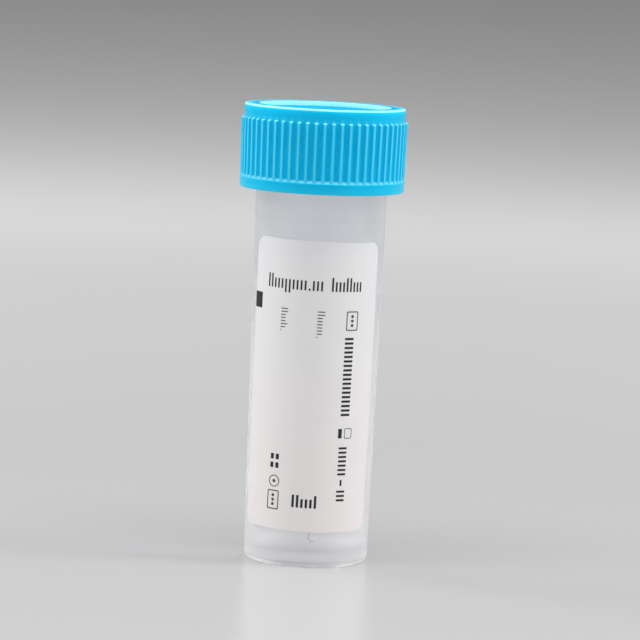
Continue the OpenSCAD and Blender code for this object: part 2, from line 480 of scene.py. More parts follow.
def thread_tree():
    """A ridge that climbs a wall. Reach is how far its crest stands out, negative in a cap."""
    sizes = {
        "Wall radius": 0.008,
        "Reach": 0.0008,
        "Root width": 0.0015,
        "Crest width": 0.0007,
        "Pitch": 0.003,
        "Turns": 1.4,
        "Start height": 0.0,
        "Start angle": 0.0,
        "Sink": 0.0002,
        "Run out": 0.005,
    }
    tree, given = shape_tree("thread", sizes)
    path = {
        "Resolution": 64,
        "Rotations": given["Turns"],
        "Start Radius": given["Wall radius"],
        "End Radius": given["Wall radius"],
        "Height": math_node(tree, "MULTIPLY", given["Turns"], given["Pitch"]),
        "Reverse": True,
    }
    spiral = place(tree, "GeometryNodeCurveSpiral", path)
    upright = place(tree, "GeometryNodeSetCurveNormal", {"Curve": spiral}, mode="Z_UP")
    side = math_node(tree, "SIGN", given["Reach"])
    root = math_node(tree, "MULTIPLY", math_node(tree, "MULTIPLY", side, given["Sink"]), -1.0)
    profile = place(tree, "GeometryNodeCurvePrimitiveQuadrilateral", mode="POINTS")
    corners = ((root, "Root width", -0.5), (given["Reach"], "Crest width", -0.5))
    corners += ((given["Reach"], "Crest width", 0.5), (root, "Root width", 0.5))
    for number, (reach, width, share) in enumerate(corners, 1):
        height = math_node(tree, "MULTIPLY", given[width], share)
        corner = place(tree, "ShaderNodeCombineXYZ", {"X": reach, "Y": height})
        tree.links.new(corner.outputs[0], profile.inputs[f"Point {number}"])
    along = place(tree, "GeometryNodeSplineParameter").outputs
    whole = place(tree, "GeometryNodeSplineLength").outputs["Length"]
    left = math_node(tree, "SUBTRACT", whole, along["Length"])
    nearest = math_node(tree, "MINIMUM", along["Length"], left)
    shrink = math_node(tree, "MINIMUM", math_node(tree, "DIVIDE", nearest, given["Run out"]), 1.0)
    shape = {"Curve": upright, "Profile Curve": profile, "Fill Caps": True}
    shape["Scale"] = math_node(tree, "MAXIMUM", shrink, LEAST_SCALE)
    ridge = place(tree, "GeometryNodeCurveToMesh", shape)
    rise = place(tree, "ShaderNodeCombineXYZ", {"Z": given["Start height"]})
    turn = about_axis(tree, given["Start angle"])
    motion = {"Geometry": ridge, "Translation": rise, "Rotation": turn}
    return close_tree(tree, place(tree, "GeometryNodeTransform", motion), given["Material"])


THREAD = thread_tree()


def thread(name, wall_r, reach, start_z, start_turn, material):
    """A thread ridge as an object of its own."""
    ridge = new_object(name, bpy.data.meshes.new(name))
    sizes = {
        "Wall radius": wall_r * MM,
        "Reach": reach * MM,
        "Root width": THREAD_ROOT_W * MM,
        "Crest width": THREAD_CREST_W * MM,
        "Pitch": PITCH * MM,
        "Turns": THREAD_TURNS,
        "Start height": (start_z + PITCH * start_turn) * MM,
        "Start angle": math.tau * start_turn,
        "Material": material,
    }
    grown(ridge, THREAD, **sizes)
    heights = [v.co.z / MM for v in ridge.data.vertices]
    print(f"{name}: {THREAD_TURNS} turns, from {min(heights):.2f} to {max(heights):.2f} mm")
    return ridge


def united(obj, other):
    """Join a second closed piece into the first, as one closed skin."""
    joined = obj.modifiers.new("joined", "BOOLEAN")
    joined.operation = "UNION"
    joined.solver = "EXACT"
    joined.object = other
    settled(obj)
    bpy.data.objects.remove(other)
    return obj


# %% [markdown]
# ## The tube
#
# The tube is one moulding: a foot ring to stand on, a floor with a small round boss where the
# plastic was injected, a tapering wall, a neck and the rim. All of it but the thread is turned
# about one axis, so it is lathed from one closed outline, from the underside round to the
# inside of the floor. Light passes through both walls, so the mesh has to be a true closed
# skin with the real wall thickness.
#
# Polypropylene of this kind is milky and not glass-clear. A rough transmission carries the
# light through softly, and the remaining share of plain diffuse colour gives the milk. Three
# more things bring it to life. Lamps shine through the wall instead of leaving its inside
# dark, which a rough glass can't do by itself. The wall grows clearer towards the neck, where
# the moulding is thinnest. And near the cap its colour is painted a little blue, for the
# cap's light that falls on it. Low on the foot, darker bands painted into the colour stand
# for the foot's contact shadow and the shade line of the foot ring.


# %% The plastic of the tube
MILKY_Z = 26.0
CLEAR_Z = 44.0
CLEAR_ALPHA = 0.3
BANDS_TO_Z = 4.0
# Painted shade: darker bands low on the foot, as (height in mm, tone), for its contact shadow and
# the shade line of the foot ring.
FOOT_PAINTED_SHADE = (
    (0.0, 0.78), (0.1, 1.0), (0.44, 1.0), (0.6, 0.78), (0.7, 0.78),
    (0.86, 1.0), (1.85, 1.0), (2.0, 0.95), (BANDS_TO_Z, 0.98),
)
MILK = (0.99, 0.99, 1.0)
# Painted light: a blue tint near the cap, for the cap's light falling on the tube.
CAP_LIGHT_TINT = (0.93, 0.955, 1.0, 1.0)
ROUGH_LEAST = 0.28
ROUGH_SPREAD = 0.06
LAMP_PASS = (0.88, 0.88, 0.88, 1.0)


def tube_plastic():
    """Natural polypropylene: hazy, slightly milky, with a satin skin."""
    name = "natural_polypropylene"
    material, tree, shader = new_material(name, 0.3, IOR=1.49, Transmission_Weight=0.72)
    near_cap = height_share(tree, MILKY_Z, CLEAR_Z)
    # The foot's painted shade, as a ramp of colours by height.
    painted_shade_stops = [(z / BANDS_TO_Z, (*(tone * part for part in MILK), 1.0)) for z, tone in FOOT_PAINTED_SHADE]
    milk = ramp_of(tree, height_share(tree, 0, BANDS_TO_Z), painted_shade_stops)
    # Painted light near the cap, over the painted shade bands of the foot.
    colour = mixed(tree, near_cap, milk, CAP_LIGHT_TINT)
    clouds = finish(
        tree, shader, colour, clouds=6, specks=0.6, amount=0.006, grain=0.4, strength=0.05
    )
    rough = math_node(tree, "MULTIPLY_ADD", clouds, ROUGH_SPREAD, ROUGH_LEAST)
    tree.links.new(rough, shader.inputs["Roughness"])
    shares = {"Value": near_cap, "To Min": 1.0, "To Max": CLEAR_ALPHA}
    alpha = place(tree, "ShaderNodeMapRange", shares)
    tree.links.new(alpha.outputs[0], shader.inputs["Alpha"])
    open_way = place(tree, "ShaderNodeBsdfTransparent", {"Color": LAMP_PASS})
    ray = place(tree, "ShaderNodeLightPath").outputs["Is Shadow Ray"]
    both = place(tree, "ShaderNodeMixShader", {0: ray, 1: shader, 2: open_way})
    tree.links.new(both.outputs[0], tree.nodes["Material Output"].inputs["Surface"])
    return material


TUBE_PLASTIC = tube_plastic()


# %% The tube's mesh
TUBE_STEPS = 192


def tube_outline():
    """Outline of the tube, from the middle of its underside round to the middle of its floor."""
    gate_r, gate_z = BOSS_R * 0.6, FOOT_H * 0.6
    return eased(
        [
            (0, gate_z, 0),
            (gate_r, gate_z, 0.05),
            (gate_r, FOOT_H, 0),
            (FOOT_R - FOOT_W, FOOT_H, 0.15),
            (FOOT_R - FOOT_W, 0, 0.1),
            (FOOT_R, 0, 0.6),
            (side_r(NECK_Z - NECK_STEP), NECK_Z - NECK_STEP, 0.05),
            (NECK_R, NECK_Z, 0.05),
            (NECK_R, TUBE_H, 0.2),
            (MOUTH_R, TUBE_H, 0.1),
            (MOUTH_R, NECK_Z, 0),
            (BORE_R, FLOOR_Z, 0.8),
            (BOSS_R, FLOOR_Z, 0.06),
            (BOSS_R, FLOOR_Z + BOSS_H, 0.1),
            (0, FLOOR_Z + BOSS_H, 0),
        ]
    )


bm = bmesh.new()
lathe(bm, tube_outline(), TUBE_STEPS)
bmesh.ops.recalc_face_normals(bm, faces=bm.faces)
tube = from_bmesh("tube", bm)
tube.data.materials.append(TUBE_PLASTIC)
united(tube, thread("neck_thread", NECK_R, THREAD_H, NECK_THREAD_Z, 0.0, TUBE_PLASTIC))
smoothed(tube)

# %% [markdown]
# ## Parts that repeat round the axis
#
# The cap has 60 grip ribs outside and 108 fine teeth in the recess of its top. Modelling one
# sector and repeating it round the axis keeps all of them alike, and a change to one is a
# change to all. The tree puts a copy of the sector on each of `Count` points that lie on the
# axis, turns each by its share of a full turn, and welds the seams.


# %% The ring tree
def ring_tree():
    """Repeat a sector round the axis and weld the copies."""
    tree, given = shape_tree("ring of sectors", {"Count": 12, "Weld": 0.000001})
    spots = place(tree, "GeometryNodePoints", {"Count": given["Count"]})
    index = place(tree, "GeometryNodeInputIndex").outputs[0]
    angle = math_node(tree, "MULTIPLY", index, math_node(tree, "DIVIDE", math.tau, given["Count"]))
    inputs = {"Points": spots, "Instance": given["Geometry"], "Rotation": about_axis(tree, angle)}
    copies = place(tree, "GeometryNodeInstanceOnPoints", inputs)
    real = place(tree, "GeometryNodeRealizeInstances", {"Geometry": copies})
    inputs = {"Geometry": real, "Distance": given["Weld"]}
    welded = place(tree, "GeometryNodeMergeByDistance", inputs)
    return close_tree(tree, welded, given["Material"])


RING = ring_tree()


def ring_of(name, sector, count, material):
    """Build a sector, given as rows of points, and repeat it. Rows run along the outline."""
    bm = bmesh.new()
    rows = [[bm.verts.new(point) for point in row] for row in sector]
    for low, high in zip(rows, rows[1:]):
        for k in range(len(low) - 1):
            bm.faces.new((low[k], low[k + 1], high[k + 1], high[k]))
    ring = from_bmesh(name, bm)
    grown(ring, RING, Count=count, Material=material)
    print(f"{name}: {count} sectors, {len(ring.data.polygons)} faces")
    return ring


# %% [markdown]
# ## The cap's outside
#
# Between two ribs lies a groove, and each groove is a hollow cut by a round cutter, so the
# wall's radius at any place is the lesser of two numbers: how far out the plain turned shape
# reaches, and how far out the hollow leaves it. At the bottom the grooves run out on the
# sloping top of the lower band, which is the greater of the two. Where two of these surfaces
# meet, a real mould has a tiny rounding, so the lesser and the greater are taken softly.


# %% The wall of the cap
GROOVE_R = 0.4
SOFT = 0.05
SOFT_BEVEL = 0.08
SOFT_LEDGE = 0.06
CREST_FOOT_R = LOW_R - 0.02
CREST_FOOT_Z = LEDGE_Z - LOW_OUT
CREST_LEAN = (RIB_R - CREST_FOOT_R) / (RIB_TOP_Z - RIB_BEVEL_H - CREST_FOOT_Z)


def polar(r, turn, z):
    """A point at a radius, an angle in degrees and a height."""
    return (r * math.cos(math.radians(turn)), r * math.sin(math.radians(turn)), z)


def share_of(value, start, end):
    """Share from 0 to 1 of the way that a value has come between two others."""
    return min(max((value - start) / (end - start), 0.0), 1.0)


def soft_least(a, b, soft):
    """The lesser of two numbers, rounded where they cross."""
    near = max(soft - abs(a - b), 0) / soft
    return min(a, b) - near * near * soft / 4


def turned_r(z):
    """Radius of the ribs' crests, which lean in a little downwards and are bevelled at the top."""
    crest = CREST_FOOT_R + CREST_LEAN * (z - CREST_FOOT_Z)
    bevel = BAND_R + max(RIB_TOP_Z - z, 0) * RIB_H / RIB_BEVEL_H
    return soft_least(crest, bevel, SOFT_BEVEL)


def hollow_r(turn):
    """Radius of a groove's hollow at an angle in degrees from its middle, or None on a rib."""
    centre = BAND_R + GROOVE_R
    across = centre * math.sin(math.radians(turn))
    if abs(across) >= GROOVE_R:
        return None
    return centre * math.cos(math.radians(turn)) - math.sqrt(GROOVE_R**2 - across**2)


def wall_r(turn, z):
    """Radius of the cap's outer wall in the zone of the ribs."""
    hollow = hollow_r(turn)
    r = turned_r(z) if hollow is None else soft_least(turned_r(z), hollow, SOFT)
    ledge = LOW_R - (z - CREST_FOOT_Z)
    return -soft_least(-max(r, BAND_R), -ledge, SOFT_LEDGE)


MID_WALL_Z = (LEDGE_Z + RIB_TOP_Z) / 2
mid_radii = wall_r(180 / RIBS, MID_WALL_Z), wall_r(0, MID_WALL_Z)
print("cap's wall: radius {:.2f} mm on a rib and {:.2f} mm in a groove".format(*mid_radii))


# %% Rows of the cap's outer sector
HALF_TURNS = (0, 0.6, 1.2, 1.6, 1.85, 2.0, 2.1, 2.2, 2.4, 3.0)
LEDGE_ROWS = (-0.32, -0.27, -0.24, -0.21, -0.16, -0.11, -0.06, -0.02, 0.03, 0.1, 0.3)
CREST_ROWS = (-3.5, -0.5, -0.26, -0.21, -0.18, -0.155, -0.13, -0.1, -0.07, -0.035, 0)
RIM_ROWS = (RIM_H, 0.95, 0.75, 0.55, 0.4)
CAP_EASE = 0.25
RIB_SEAM_R = RECESS_R + 0.5


def rib_sector():
    """Rows of points over one groove, from the cap's lower edge over the wall to its rim."""
    turns = [-t for t in HALF_TURNS[:0:-1]] + list(HALF_TURNS)
    foot = [(SKIRT_R + LEAD_IN, CAP_LOW_Z, 0), (LOW_R, CAP_LOW_Z, CAP_EASE)]
    foot += [(LOW_R, LEDGE_Z - 0.5, 0)]
    ribs = [LEDGE_Z + up for up in LEDGE_ROWS] + [RIB_TOP_Z + up for up in CREST_ROWS]
    rim = [(BAND_R, CAP_TOP_Z - down, 0) for down in RIM_ROWS]
    rim += [(BAND_R, CAP_TOP_Z, CAP_EASE), (RIB_SEAM_R, CAP_TOP_Z, 0)]
    start = CAP_TURN + 180 / RIBS
    rows = [[polar(r, start + t, z) for t in turns] for r, z in eased(foot)]
    rows += [[polar(wall_r(t, z), start + t, z) for t in turns] for z in ribs]
    return rows + [[polar(r, start + t, z) for t in turns] for r, z in eased(rim)]


rib_rows = rib_sector()
print(f"rib sector: {len(rib_rows)} rows of {len(rib_rows[0])} points")


# %% Rows of one tooth
TOOTH_TURNS = (-0.5, -0.36, -0.18, -0.06, 0, 0.06, 0.18, 0.36, 0.5)
TOOTH_FADE = 0.12
TOOTH_FOOT_R = RECESS_R - 0.3
TOOTH_SEAM_R = RECESS_R + 0.45
FLOOR_SEAM_R = RECESS_R - 0.6


def tooth_sector():
    """Rows of points over one tooth of the recess, from the rim down to the recess's floor."""
    wall = [(RECESS_R + 0.03, CAP_TOP_Z, 0.1), (RECESS_R - 0.17, RECESS_Z, 0.08)]
    outline = [(TOOTH_SEAM_R, CAP_TOP_Z, 0), *wall, (FLOOR_SEAM_R, RECESS_Z, 0)]
    rows = []
    for r, z in eased(outline, 4):
        fade = share_of(z, CAP_TOP_Z, CAP_TOP_Z - TOOTH_FADE)
        cut = TOOTH_H * fade if r > TOOTH_FOOT_R else 0
        places = [(r - cut * (1 - 2 * abs(t)), CAP_TURN + t * 360 / TEETH) for t in TOOTH_TURNS]
        rows.append([polar(near, turn, z) for near, turn in places])
    return rows


tooth_rows = tooth_sector()
print(f"tooth sector: {len(tooth_rows)} rows of {len(tooth_rows[0])} points")


# %% [markdown]
# ## Closing the cap
#
# The ribs, the teeth and the plain inside have different numbers of points round the axis.
# Where two such rings meet, `zipped` walks round both at once and always takes the next point
# of whichever ring is behind. That closes the gap with triangles and leaves no hole. The flat
# rim, the flat floor of the recess and the lower edge are closed like this, where the
# triangles lie in one plane and can't be seen.


# %% Closing the cap
CAP_STEPS = 180
PLATE_STEPS = 90


def turn_of(vert):
    """Angle of a point round the axis."""
    return math.atan2(vert.co.y, vert.co.x)


def ring_at(bm, r, z, near=0.01):
    """The points of a bmesh on a circle."""
    return [v for v in bm.verts if abs(v.co.z - z) < near and abs(v.co.xy.length - r) < near]


def zipped(bm, one, other):
    """Join two rings of points with triangles, in the order of their angles."""
    one, other = sorted(one, key=turn_of), sorted(other, key=turn_of)
    angle = [[turn_of(v) for v in ring] for ring in (one, other)]
    angle = [turns + [turns[0] + math.tau] for turns in angle]
    i = j = 0
    while i < len(one) or j < len(other):
        first = j == len(other) or (i < len(one) and angle[0][i + 1] < angle[1][j + 1])
        here, there = one[i % len(one)], other[j % len(other)]
        if first:
            bm.faces.new((here, one[(i + 1) % len(one)], there))
            i += 1
        else:
            bm.faces.new((here, other[(j + 1) % len(other)], there))
            j += 1


def inside_outline():
    """Outline of the cap's inside, from the skirt's lower edge to the middle of the plate."""
    plug_low = PLATE_Z - PLUG_H
    return eased(
        [
            (SKIRT_R + LEAD_IN, CAP_LOW_Z, 0),
            (SKIRT_R, CAP_LOW_Z + LEAD_IN, 0.1),
            (SKIRT_R, PLATE_Z, 0.2),
            (PLUG_R, PLATE_Z, 0.15),
            (PLUG_R, plug_low + LEAD_IN, 0.2),
            (PLUG_R - LEAD_IN, plug_low, 0.15),
            (PLUG_R - PLUG_WALL, plug_low, 0.1),
            (PLUG_R - PLUG_WALL, PLATE_Z, 0.15),
            (0, PLATE_Z, 0),
        ],
        4,
    )


def cap_mesh(material):
    """The whole cap as one closed skin."""
    parts = [ring_of("ribs", rib_rows, RIBS, material)]
    parts.append(ring_of("teeth", tooth_rows, TEETH, material))
    bm = bmesh.new()
    for part in parts:
        bm.from_mesh(part.data)
        bpy.data.objects.remove(part)
    bmesh.ops.transform(bm, matrix=Matrix.Scale(1 / MM, 4), verts=bm.verts)
    rim = ring_at(bm, RIB_SEAM_R, CAP_TOP_Z), ring_at(bm, TOOTH_SEAM_R, CAP_TOP_Z)
    edge = ring_at(bm, SKIRT_R + LEAD_IN, CAP_LOW_Z)
    low = ring_at(bm, FLOOR_SEAM_R, RECESS_Z)
    inner = lathe(bm, inside_outline(), CAP_STEPS)
    floor = lathe(bm, [(FLOOR_SEAM_R - 0.2, RECESS_Z), (0, RECESS_Z)], PLATE_STEPS)
    for one, other in (rim, (edge, inner[0]), (low, floor[0])):
        zipped(bm, one, other)
    bmesh.ops.recalc_face_normals(bm, faces=bm.faces)
    open_edges = [e for e in bm.edges if not e.is_manifold]
    print(f"cap: {len(bm.faces)} faces, {len(open_edges)} open edges")
    return from_bmesh("cap", bm)


print("helpers: turn_of, ring_at, zipped, inside_outline, cap_mesh")


# %% [markdown]
# ## The plastic of the cap
#
# The cap is cyan polyethylene: strongly coloured, satin and a touch waxy. Its colour carries
# painted light. Pale painted highlights lie on the crests and tips of the ribs, the ledges
# below them, the cap's lower edge, the rounded rim and the wall of the recess, where light
# would glint. Light sinks in at the rim through the plastic's subsurface scattering, and a
# painted glow just under the rim and on the lower band adds to it, while painted shade makes
# the flats on top the deepest blue. The mesh knows best where its own edges are, so both
# numbers are worked out once at every point of it and kept there as attributes, and the
# material only has to read them.


# %% Where the cap has painted highlights
# Painted highlights: how pale each edge is painted, from the rim's rounding to the cap's lower
# edge.
RIM_HIGHLIGHT = 1.0
RECESS_WALL_HIGHLIGHT = 0.75
DEEP_WALL_HIGHLIGHT = 0.25
RIB_TIP_HIGHLIGHT = 0.6
CREST_HIGHLIGHT = 0.22
LEDGE_HIGHLIGHT = 0.4
LOW_EDGE_HIGHLIGHT = 0.03
# Painted light: the plain skin's share, and a painted glow on the lower band.
PLAIN_SKIN_LIGHT = 0.5
LOW_BAND_PAINTED_GLOW = 0.66


def painted_highlight_at(r, z, off_rib):
    """Painted highlight at a point of the cap, from 0 to 1. off_rib is its angle from a rib's
    middle.

    Each mark fades in between the two distances, in millimetres or degrees, of its share_of.
    """
    down, out = CAP_TOP_Z - z, r - BAND_R
    on_crest = CREST_HIGHLIGHT * share_of(off_rib, 0.85, 0.5)
    if z > RIM_Z and out > -0.5:
        return RIM_HIGHLIGHT * share_of(down, 0.24, 0.16) * share_of(out, -0.26, -0.16)
    if z > RECESS_Z + 0.02 and r < RECESS_R + 0.06:
        edges = share_of(z - RECESS_Z, 0, 0.08) * share_of(r - RECESS_R, -0.4, -0.3)
        return (RECESS_WALL_HIGHLIGHT + DEEP_WALL_HIGHLIGHT * share_of(z, CAP_TOP_Z, RECESS_Z)) * edges
    if z > RIB_TOP_Z - 0.3 and out > -0.1:
        tip = share_of(out, 0.05, 0.12) * share_of(z - RIB_TOP_Z, -0.25, -0.15)
        return max(RIB_TIP_HIGHLIGHT * tip * share_of(off_rib, 1.35, 0.95), on_crest)
    if out < -0.1:
        return 0.0
    if z > LEDGE_Z + 0.08:
        return on_crest
    if z > CREST_FOOT_Z - 0.02:
        ledge = share_of(off_rib, 0.9, 1.2) * share_of(z - CREST_FOOT_Z, -0.02, 0.05)
        return max(LEDGE_HIGHLIGHT * ledge, on_crest)
    return LOW_EDGE_HIGHLIGHT * share_of(z - CAP_LOW_Z, 0.5, 0.1)


def painted_light_at(r, z, _):
    """Painted light at a point of the cap: 0 is painted shade on the flats on top, a half is plain
    skin, a little more is the lower band's painted glow, and 1 is the painted glow just under the
    rim.
    """
    out = r - BAND_R
    if z > RIM_Z and out > -0.3:
        return PLAIN_SKIN_LIGHT + (1 - PLAIN_SKIN_LIGHT) * share_of(CAP_TOP_Z - z, 1.0, 0.25) ** 2
    if z < CREST_FOOT_Z and r > SKIRT_R + LEAD_IN + 0.1:
        return LOW_BAND_PAINTED_GLOW
    if out < -0.3 and (z > CAP_TOP_Z - 0.01 or abs(z - RECESS_Z) < 0.01):
        return 0.0
    return PLAIN_SKIN_LIGHT


def rib_angle(point):
    """Angle in degrees between a point and the middle of the nearest rib."""
    turn = math.degrees(math.atan2(point.y, point.x)) - CAP_TURN
    share = 360 / RIBS
    return abs((turn + share / 2) % share - share / 2)


def mark_skin(obj):
    """Store the painted highlight and the painted light at every point of a mesh."""
    spots = [(v.co.xy.length / MM, v.co.z / MM, rib_angle(v.co)) for v in obj.data.vertices]
    for name, rule in (("painted_highlight", painted_highlight_at), ("painted_light", painted_light_at)):
        layer = obj.data.attributes.new(name, "FLOAT", "POINT")
        layer.data.foreach_set("value", [rule(*spot) for spot in spots])
    obj.data.update()
    print(f"{obj.name}: wear and glow kept at {len(spots)} points")


mid_highlight = painted_highlight_at(RIB_R, MID_WALL_Z, 0), painted_highlight_at(BAND_R, MID_WALL_Z, 180 / RIBS)
print("wear: {} on a rib and {} in a groove".format(*mid_highlight))


# %% The cap's material
# Painted shade on the flats, the plain colour, the painted glow under the rim, and the pale colour
# of painted highlights.
SHADED_FLAT_CYAN = (0.0, 0.32, 0.62, 1.0)
PLAIN_CYAN = (0.0, 0.50, 0.79, 1.0)
GLOW_PAINTED_CYAN = (0.0, 0.68, 0.96, 1.0)
HIGHLIGHT_CYAN = (0.46, 0.93, 1.0, 1.0)
CYAN_REACH = (0.3, 0.8, 1.0)


def cap_plastic(name, roughness, gloss):
    """Cyan polyethylene, with a painted glow under the rim, painted shade on the flats and pale
    painted highlights on its edges.
    """
    material, tree, shader = new_material(
        name,
        roughness,
        Specular_IOR_Level=gloss,
        Subsurface_Weight=0.6,
        Subsurface_Scale=0.001,
        Subsurface_Radius=CYAN_REACH,
    )
    painted_light = place(tree, "ShaderNodeAttribute", attribute_name="painted_light").outputs["Fac"]
    painted_highlight = place(tree, "ShaderNodeAttribute", attribute_name="painted_highlight").outputs["Fac"]
    # Painted shade, plain colour and painted glow, by the painted light.
    plain = ramp_of(tree, painted_light, ((0.0, SHADED_FLAT_CYAN), (0.5, PLAIN_CYAN), (1.0, GLOW_PAINTED_CYAN)))
    # Pale painted highlights go over the painted light.
    colour = mixed(tree, painted_highlight, plain, HIGHLIGHT_CYAN)
    finish(tree, shader, colour, clouds=3, specks=0.25, amount=0.025, grain=0.25, strength=0.12)
    return material


CAP_PLASTIC = cap_plastic("cyan_polyethylene", 0.38, 0.14)
RECESS_PLASTIC = cap_plastic("cyan_polyethylene_matt", 0.7, 0.05)

# %% The cap, joined and finished
cap = cap_mesh(CAP_PLASTIC)
cap.data.materials.append(CAP_PLASTIC)
reach = CAP_CREST_R - SKIRT_R
ridge = thread("cap_thread", SKIRT_R, reach, CAP_THREAD_Z, CAP_THREAD_START, CAP_PLASTIC)
united(cap, ridge)
mark_skin(cap)
cap.data.materials.append(RECESS_PLASTIC)
for face in cap.data.polygons:
    middle = face.center / MM
    face.material_index = int(middle.xy.length < RECESS_R and abs(middle.z - RECESS_Z) < 0.05)
smoothed(cap)

# %% [markdown]
# ## The seal ring
#
# A soft silicone ring lies between the tube's rim and the cap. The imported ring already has
# the right shape and is hidden until the cap comes off, so it only gets its finish: a pale,
# slightly translucent rubber with a dull skin.


# %% The seal's material
PALE_RUBBER = (0.78, 0.78, 0.76, 1.0)


def silicone():
    """Pale silicone rubber."""
    depth = (0.001, 0.001, 0.001)
    material, tree, shader = new_material(
        "pale_silicone", 0.55, IOR=1.41, Subsurface_Weight=0.3, Subsurface_Radius=depth
    )
    finish(tree, shader, PALE_RUBBER, clouds=2, specks=0.2, amount=0.03, grain=0.2, strength=0.15)
    return material


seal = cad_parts["seal_ring"]
seal.data.materials.clear()
seal.data.materials.append(silicone())
print("seal ring: silicone")

# %% [markdown]
# ## Flat work, bent round the tube
#
# A label is printed flat and then wrapped. The model does the same: the paper and the print
# are drawn flat, where a millimetre is a millimetre, and one tree bends both round the
# tapering side. In the flat drawing x runs round the tube, z runs up, and -y is the height
# over the tube's skin. Before bending, the drawing is sliced into narrow strips, so that it
# can follow the curve.


# %% The wrapping tree
def wrap_tree():
    """Bend a flat drawing round a cone that stands on the origin."""
    sizes = {"Foot radius": 0.008, "Lean": 0.0, "Paper": 0.0001}
    tree, given = shape_tree("wrap round", sizes)
    flat = place(tree, "GeometryNodeInputPosition").outputs[0]
    flat = place(tree, "ShaderNodeSeparateXYZ", {0: flat}).outputs
    skin = math_node(tree, "MULTIPLY_ADD", given["Lean"], flat["Z"], given["Foot radius"])
    angle = math_node(tree, "DIVIDE", flat["X"], math_node(tree, "ADD", skin, given["Paper"]))
    radius = math_node(tree, "SUBTRACT", skin, flat["Y"])
    x = math_node(tree, "MULTIPLY", radius, math_node(tree, "SINE", angle))
    y = math_node(tree, "MULTIPLY", radius, math_node(tree, "COSINE", angle))
    y = math_node(tree, "MULTIPLY", y, -1.0)
    bent = place(tree, "ShaderNodeCombineXYZ", {"X": x, "Y": y, "Z": flat["Z"]})
    inputs = {"Geometry": given["Geometry"], "Position": bent}
    return close_tree(tree, place(tree, "GeometryNodeSetPosition", inputs), given["Material"])


WRAP = wrap_tree()


# %% Drawing flat shapes
def corner_arc(x, z, r, start, steps=6):
    """Points of a quarter circle about a corner's centre."""
    turns = [math.radians(start + 90 * k / steps) for k in range(steps + 1)]
    return [(x + r * math.cos(a), z + r * math.sin(a)) for a in turns]


def rounded_box(x0, x1, z0, z1, r, steps=6):
    """Outline of a box with round corners, anticlockwise."""
    left, right, low, high = x0 + r, x1 - r, z0 + r, z1 - r
    centres = ((right, high, 0), (left, high, 90), (left, low, 180), (right, low, 270))
    return [point for x, z, start in centres for point in corner_arc(x, z, r, start, steps)]


def disc(x, z, r, steps=24):
    """Outline of a circle."""
    turns = [math.tau * k / steps for k in range(steps)]
    return [(x + r * math.cos(a), z + r * math.sin(a)) for a in turns]


def fill(bm, outline, hole=None):
    """Add a flat shape, with an optional hole that has as many points as its outline."""
    outer = [bm.verts.new((x, 0, z)) for x, z in outline]
    if hole is None:
        bm.faces.new(outer)
        return
    inner = [bm.verts.new((x, 0, z)) for x, z in hole]
    for k, corner in enumerate(outer):
        following = (k + 1) % len(outer)
        bm.faces.new((corner, outer[following], inner[following], inner[k]))


STRIP = 0.3
SHEET_W = 40
SHEET_H = 60


def pressed(name, bm, low, high, material):
    """Slice a flat drawing, give it thickness between two heights, and wrap it on the tube."""
    across = [v.co.x for v in bm.verts]
    for k in range(1, int((max(across) - min(across)) / STRIP) + 1):
        everything = bm.verts[:] + bm.edges[:] + bm.faces[:]
        cut = {"plane_co": (min(across) + k * STRIP, 0, 0), "plane_no": (1, 0, 0)}
        bmesh.ops.bisect_plane(bm, geom=everything, dist=0.0005, **cut)
    layer = bm.loops.layers.uv.new("flat")
    front = bmesh.ops.extrude_face_region(bm, geom=bm.faces[:], use_keep_orig=True)["geom"]
    raised = {item for item in front if isinstance(item, bmesh.types.BMVert)}
    for vert in bm.verts:
        vert.co.y = -high if vert in raised else -low
    bmesh.ops.recalc_face_normals(bm, faces=bm.faces)
    for face in bm.faces:
        for loop in face.loops:
            loop[layer].uv = (loop.vert.co.x / SHEET_W + 0.5, loop.vert.co.z / SHEET_H)
    sizes = {"Foot radius": FOOT_R * MM, "Lean": LEAN, "Paper": PAPER_FACE * MM}
    return grown(from_bmesh(name, bm), WRAP, **sizes, Material=material)


def tilted(bm):
    """Turn a flat drawing a little clockwise about the label's middle, as it was stuck on."""
    middle = Matrix.Translation((LABEL_MID, 0, LABEL_Z + LABEL_H / 2))
    turned = middle @ Matrix.Rotation(LABEL_TILT, 4, "Y") @ middle.inverted()
    bmesh.ops.transform(bm, matrix=turned, verts=bm.verts)
    return bm


print("helpers: corner_arc, rounded_box, disc, fill, pressed, tilted")

# %% [markdown]
# ## The label
#
# The label is coated paper, a tenth of a millimetre thick, with round corners. It is white
# with a faint warmth, matt, and its fibres give it a fine tooth. Towards its top the colour is
# painted a little darker and cooler, as painted shade. Being opaque it hides the tube's
# inside, and its edge shows as a thin light line.


# %% The paper
WARM_PAPER = (0.818, 0.783, 0.771, 1.0)
SHADED_TOP_PAPER = (0.765, 0.762, 0.775, 1.0)


def paper():
    """Matt coated paper."""
    material, tree, shader = new_material("label_paper", 0.62, IOR=1.45, Specular_IOR_Level=0.25)
    # Painted shade: darker and cooler towards the top of the label.
    upper = height_share(tree, LABEL_Z, LABEL_Z + LABEL_H)
    tone = mixed(tree, upper, WARM_PAPER, SHADED_TOP_PAPER)
    finish(tree, shader, tone, clouds=4, specks=0.18, amount=0.012, grain=0.12, strength=0.25)
    return material


PAPER = paper()

# %% The label
LABEL_LEFT = LABEL_MID - LABEL_W / 2
label_box = (LABEL_LEFT, LABEL_MID + LABEL_W / 2, LABEL_Z, LABEL_Z + LABEL_H)
bm = bmesh.new()
fill(bm, rounded_box(*label_box, LABEL_CORNER, 8))
label = pressed("label_sheet", tilted(bm), GLUE_T, PAPER_FACE, PAPER)
smoothed(label, 50)

